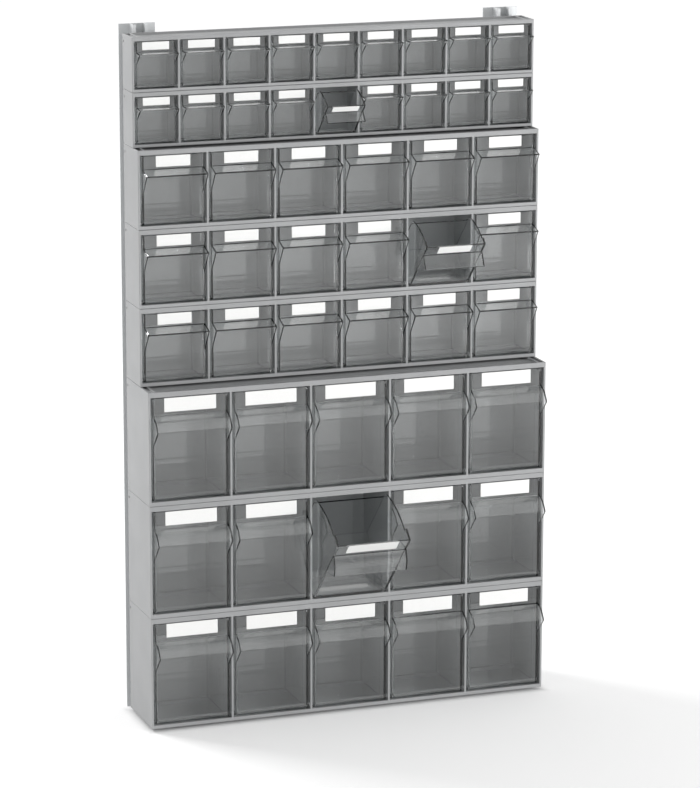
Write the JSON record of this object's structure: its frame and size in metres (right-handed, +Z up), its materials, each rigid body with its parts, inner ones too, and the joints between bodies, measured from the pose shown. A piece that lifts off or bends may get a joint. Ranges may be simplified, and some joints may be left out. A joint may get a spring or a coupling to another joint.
{
  "type": "tip-out bin storage unit",
  "caption": "Wall unit of clear tip-out bins, large ones below small ones, in stacked grey housings that hook onto upright rails; each bin tips forward on side pegs near its lower edge.",
  "frame": {"origin": "middle of the lowest housing's footprint, on the surface that the unit stands on", "axes": "+X to the viewer's right along the rows, +Y back to the wall, +Z up"},
  "size_m": [0.6, 0.2272, 0.9981],
  "materials": {
    "housing": "fine moulded grain",
    "bin": "clear, polished mould",
    "rail": "satin anodised"
  },
  "bodies": {
    "frame": {"housing_row_1": "housing", "housing_row_2": "housing", "housing_row_3": "housing", "housing_row_4": "housing", "housing_row_5": "housing", "housing_row_6": "housing", "housing_row_7": "housing", "housing_row_8": "housing", "wall_rails": "rail"},
    "row7_bin3": {"bin_row7_no3": "bin"},
    "row4_bin5": {"bin_row4_no5": "bin"},
    "row2_bin5": {"bin_row2_no5": "bin"},
    "row8_bin3": {"bin_row8_no3": "bin"},
    "row6_bin1": {"bin_row6_no1": "bin"},
    "row5_bin2": {"bin_row5_no2": "bin"},
    "row3_bin6": {"bin_row3_no6": "bin"},
    "row1_bin1": {"bin_row1_no1": "bin"},
    "row2_bin9": {"bin_row2_no9": "bin"},
    "row1_bin5": {"bin_row1_no5": "bin"},
    "row8_bin1": {"bin_row8_no1": "bin"},
    "row8_bin2": {"bin_row8_no2": "bin"},
    "row8_bin4": {"bin_row8_no4": "bin"},
    "row8_bin5": {"bin_row8_no5": "bin"},
    "row7_bin1": {"bin_row7_no1": "bin"},
    "row7_bin2": {"bin_row7_no2": "bin"},
    "row7_bin4": {"bin_row7_no4": "bin"},
    "row7_bin5": {"bin_row7_no5": "bin"},
    "row6_bin2": {"bin_row6_no2": "bin"},
    "row6_bin3": {"bin_row6_no3": "bin"},
    "row6_bin4": {"bin_row6_no4": "bin"},
    "row6_bin5": {"bin_row6_no5": "bin"},
    "row5_bin1": {"bin_row5_no1": "bin"},
    "row5_bin3": {"bin_row5_no3": "bin"},
    "row5_bin4": {"bin_row5_no4": "bin"},
    "row5_bin5": {"bin_row5_no5": "bin"},
    "row5_bin6": {"bin_row5_no6": "bin"},
    "row4_bin1": {"bin_row4_no1": "bin"},
    "row4_bin2": {"bin_row4_no2": "bin"},
    "row4_bin3": {"bin_row4_no3": "bin"},
    "row4_bin4": {"bin_row4_no4": "bin"},
    "row4_bin6": {"bin_row4_no6": "bin"},
    "row3_bin1": {"bin_row3_no1": "bin"},
    "row3_bin2": {"bin_row3_no2": "bin"},
    "row3_bin3": {"bin_row3_no3": "bin"},
    "row3_bin4": {"bin_row3_no4": "bin"},
    "row3_bin5": {"bin_row3_no5": "bin"},
    "row2_bin1": {"bin_row2_no1": "bin"},
    "row2_bin2": {"bin_row2_no2": "bin"},
    "row2_bin3": {"bin_row2_no3": "bin"},
    "row2_bin4": {"bin_row2_no4": "bin"},
    "row2_bin6": {"bin_row2_no6": "bin"},
    "row2_bin7": {"bin_row2_no7": "bin"},
    "row2_bin8": {"bin_row2_no8": "bin"},
    "row1_bin2": {"bin_row1_no2": "bin"},
    "row1_bin3": {"bin_row1_no3": "bin"},
    "row1_bin4": {"bin_row1_no4": "bin"},
    "row1_bin6": {"bin_row1_no6": "bin"},
    "row1_bin7": {"bin_row1_no7": "bin"},
    "row1_bin8": {"bin_row1_no8": "bin"},
    "row1_bin9": {"bin_row1_no9": "bin"}
  },
  "joints": [
    {"name": "tilt_row7_no3", "type": "hinge", "parent": "frame", "child": "row7_bin3", "pos_m": [0, -0.048, 0.1791], "axis": [1, 0, 0], "range_deg": [-45, 0]},
    {"name": "tilt_row4_no5", "type": "hinge", "parent": "frame", "child": "row4_bin5", "pos_m": [0.14925, -0.0105, 0.618], "axis": [1, 0, 0], "range_deg": [-45, 0]},
    {"name": "tilt_row2_no5", "type": "hinge", "parent": "frame", "child": "row2_bin5", "pos_m": [0, 0.0117, 0.8404], "axis": [1, 0, 0], "range_deg": [-45, 0]},
    {"name": "tilt_row8_no3", "type": "hinge", "parent": "frame", "child": "row8_bin3", "pos_m": [0, -0.048, 0.0146], "axis": [1, 0, 0], "range_deg": [0, 45]},
    {"name": "tilt_row6_no1", "type": "hinge", "parent": "frame", "child": "row6_bin1", "pos_m": [-0.2388, -0.048, 0.3436], "axis": [1, 0, 0], "range_deg": [0, 45]},
    {"name": "tilt_row5_no2", "type": "hinge", "parent": "frame", "child": "row5_bin2", "pos_m": [-0.14925, -0.0105, 0.506], "axis": [1, 0, 0], "range_deg": [0, 45]},
    {"name": "tilt_row3_no6", "type": "hinge", "parent": "frame", "child": "row3_bin6", "pos_m": [0.24875, -0.0105, 0.73], "axis": [1, 0, 0], "range_deg": [0, 45]},
    {"name": "tilt_row1_no1", "type": "hinge", "parent": "frame", "child": "row1_bin1", "pos_m": [-0.26533, 0.0117, 0.9179], "axis": [1, 0, 0], "range_deg": [0, 45]},
    {"name": "tilt_row2_no9", "type": "hinge", "parent": "frame", "child": "row2_bin9", "pos_m": [0.26533, 0.0117, 0.8404], "axis": [1, 0, 0], "range_deg": [0, 45]},
    {"name": "tilt_row1_no5", "type": "hinge", "parent": "frame", "child": "row1_bin5", "pos_m": [0, 0.0117, 0.9179], "axis": [1, 0, 0], "range_deg": [0, 45]},
    {"name": "tilt_row8_no1", "type": "hinge", "parent": "frame", "child": "row8_bin1", "pos_m": [-0.2388, -0.048, 0.0146], "axis": [1, 0, 0], "range_deg": [0, 45]},
    {"name": "tilt_row8_no2", "type": "hinge", "parent": "frame", "child": "row8_bin2", "pos_m": [-0.1194, -0.048, 0.0146], "axis": [1, 0, 0], "range_deg": [0, 45]},
    {"name": "tilt_row8_no4", "type": "hinge", "parent": "frame", "child": "row8_bin4", "pos_m": [0.1194, -0.048, 0.0146], "axis": [1, 0, 0], "range_deg": [0, 45]},
    {"name": "tilt_row8_no5", "type": "hinge", "parent": "frame", "child": "row8_bin5", "pos_m": [0.2388, -0.048, 0.0146], "axis": [1, 0, 0], "range_deg": [0, 45]},
    {"name": "tilt_row7_no1", "type": "hinge", "parent": "frame", "child": "row7_bin1", "pos_m": [-0.2388, -0.048, 0.1791], "axis": [1, 0, 0], "range_deg": [0, 45]},
    {"name": "tilt_row7_no2", "type": "hinge", "parent": "frame", "child": "row7_bin2", "pos_m": [-0.1194, -0.048, 0.1791], "axis": [1, 0, 0], "range_deg": [0, 45]},
    {"name": "tilt_row7_no4", "type": "hinge", "parent": "frame", "child": "row7_bin4", "pos_m": [0.1194, -0.048, 0.1791], "axis": [1, 0, 0], "range_deg": [0, 45]},
    {"name": "tilt_row7_no5", "type": "hinge", "parent": "frame", "child": "row7_bin5", "pos_m": [0.2388, -0.048, 0.1791], "axis": [1, 0, 0], "range_deg": [0, 45]},
    {"name": "tilt_row6_no2", "type": "hinge", "parent": "frame", "child": "row6_bin2", "pos_m": [-0.1194, -0.048, 0.3436], "axis": [1, 0, 0], "range_deg": [0, 45]},
    {"name": "tilt_row6_no3", "type": "hinge", "parent": "frame", "child": "row6_bin3", "pos_m": [0, -0.048, 0.3436], "axis": [1, 0, 0], "range_deg": [0, 45]},
    {"name": "tilt_row6_no4", "type": "hinge", "parent": "frame", "child": "row6_bin4", "pos_m": [0.1194, -0.048, 0.3436], "axis": [1, 0, 0], "range_deg": [0, 45]},
    {"name": "tilt_row6_no5", "type": "hinge", "parent": "frame", "child": "row6_bin5", "pos_m": [0.2388, -0.048, 0.3436], "axis": [1, 0, 0], "range_deg": [0, 45]},
    {"name": "tilt_row5_no1", "type": "hinge", "parent": "frame", "child": "row5_bin1", "pos_m": [-0.24875, -0.0105, 0.506], "axis": [1, 0, 0], "range_deg": [0, 45]},
    {"name": "tilt_row5_no3", "type": "hinge", "parent": "frame", "child": "row5_bin3", "pos_m": [-0.04975, -0.0105, 0.506], "axis": [1, 0, 0], "range_deg": [0, 45]},
    {"name": "tilt_row5_no4", "type": "hinge", "parent": "frame", "child": "row5_bin4", "pos_m": [0.04975, -0.0105, 0.506], "axis": [1, 0, 0], "range_deg": [0, 45]},
    {"name": "tilt_row5_no5", "type": "hinge", "parent": "frame", "child": "row5_bin5", "pos_m": [0.14925, -0.0105, 0.506], "axis": [1, 0, 0], "range_deg": [0, 45]},
    {"name": "tilt_row5_no6", "type": "hinge", "parent": "frame", "child": "row5_bin6", "pos_m": [0.24875, -0.0105, 0.506], "axis": [1, 0, 0], "range_deg": [0, 45]},
    {"name": "tilt_row4_no1", "type": "hinge", "parent": "frame", "child": "row4_bin1", "pos_m": [-0.24875, -0.0105, 0.618], "axis": [1, 0, 0], "range_deg": [0, 45]},
    {"name": "tilt_row4_no2", "type": "hinge", "parent": "frame", "child": "row4_bin2", "pos_m": [-0.14925, -0.0105, 0.618], "axis": [1, 0, 0], "range_deg": [0, 45]},
    {"name": "tilt_row4_no3", "type": "hinge", "parent": "frame", "child": "row4_bin3", "pos_m": [-0.04975, -0.0105, 0.618], "axis": [1, 0, 0], "range_deg": [0, 45]},
    {"name": "tilt_row4_no4", "type": "hinge", "parent": "frame", "child": "row4_bin4", "pos_m": [0.04975, -0.0105, 0.618], "axis": [1, 0, 0], "range_deg": [0, 45]},
    {"name": "tilt_row4_no6", "type": "hinge", "parent": "frame", "child": "row4_bin6", "pos_m": [0.24875, -0.0105, 0.618], "axis": [1, 0, 0], "range_deg": [0, 45]},
    {"name": "tilt_row3_no1", "type": "hinge", "parent": "frame", "child": "row3_bin1", "pos_m": [-0.24875, -0.0105, 0.73], "axis": [1, 0, 0], "range_deg": [0, 45]},
    {"name": "tilt_row3_no2", "type": "hinge", "parent": "frame", "child": "row3_bin2", "pos_m": [-0.14925, -0.0105, 0.73], "axis": [1, 0, 0], "range_deg": [0, 45]},
    {"name": "tilt_row3_no3", "type": "hinge", "parent": "frame", "child": "row3_bin3", "pos_m": [-0.04975, -0.0105, 0.73], "axis": [1, 0, 0], "range_deg": [0, 45]},
    {"name": "tilt_row3_no4", "type": "hinge", "parent": "frame", "child": "row3_bin4", "pos_m": [0.04975, -0.0105, 0.73], "axis": [1, 0, 0], "range_deg": [0, 45]},
    {"name": "tilt_row3_no5", "type": "hinge", "parent": "frame", "child": "row3_bin5", "pos_m": [0.14925, -0.0105, 0.73], "axis": [1, 0, 0], "range_deg": [0, 45]},
    {"name": "tilt_row2_no1", "type": "hinge", "parent": "frame", "child": "row2_bin1", "pos_m": [-0.26533, 0.0117, 0.8404], "axis": [1, 0, 0], "range_deg": [0, 45]},
    {"name": "tilt_row2_no2", "type": "hinge", "parent": "frame", "child": "row2_bin2", "pos_m": [-0.199, 0.0117, 0.8404], "axis": [1, 0, 0], "range_deg": [0, 45]},
    {"name": "tilt_row2_no3", "type": "hinge", "parent": "frame", "child": "row2_bin3", "pos_m": [-0.13267, 0.0117, 0.8404], "axis": [1, 0, 0], "range_deg": [0, 45]},
    {"name": "tilt_row2_no4", "type": "hinge", "parent": "frame", "child": "row2_bin4", "pos_m": [-0.06633, 0.0117, 0.8404], "axis": [1, 0, 0], "range_deg": [0, 45]},
    {"name": "tilt_row2_no6", "type": "hinge", "parent": "frame", "child": "row2_bin6", "pos_m": [0.06633, 0.0117, 0.8404], "axis": [1, 0, 0], "range_deg": [0, 45]},
    {"name": "tilt_row2_no7", "type": "hinge", "parent": "frame", "child": "row2_bin7", "pos_m": [0.13267, 0.0117, 0.8404], "axis": [1, 0, 0], "range_deg": [0, 45]},
    {"name": "tilt_row2_no8", "type": "hinge", "parent": "frame", "child": "row2_bin8", "pos_m": [0.199, 0.0117, 0.8404], "axis": [1, 0, 0], "range_deg": [0, 45]},
    {"name": "tilt_row1_no2", "type": "hinge", "parent": "frame", "child": "row1_bin2", "pos_m": [-0.199, 0.0117, 0.9179], "axis": [1, 0, 0], "range_deg": [0, 45]},
    {"name": "tilt_row1_no3", "type": "hinge", "parent": "frame", "child": "row1_bin3", "pos_m": [-0.13267, 0.0117, 0.9179], "axis": [1, 0, 0], "range_deg": [0, 45]},
    {"name": "tilt_row1_no4", "type": "hinge", "parent": "frame", "child": "row1_bin4", "pos_m": [-0.06633, 0.0117, 0.9179], "axis": [1, 0, 0], "range_deg": [0, 45]},
    {"name": "tilt_row1_no6", "type": "hinge", "parent": "frame", "child": "row1_bin6", "pos_m": [0.06633, 0.0117, 0.9179], "axis": [1, 0, 0], "range_deg": [0, 45]},
    {"name": "tilt_row1_no7", "type": "hinge", "parent": "frame", "child": "row1_bin7", "pos_m": [0.13267, 0.0117, 0.9179], "axis": [1, 0, 0], "range_deg": [0, 45]},
    {"name": "tilt_row1_no8", "type": "hinge", "parent": "frame", "child": "row1_bin8", "pos_m": [0.199, 0.0117, 0.9179], "axis": [1, 0, 0], "range_deg": [0, 45]},
    {"name": "tilt_row1_no9", "type": "hinge", "parent": "frame", "child": "row1_bin9", "pos_m": [0.26533, 0.0117, 0.9179], "axis": [1, 0, 0], "range_deg": [0, 45]}
  ]
}
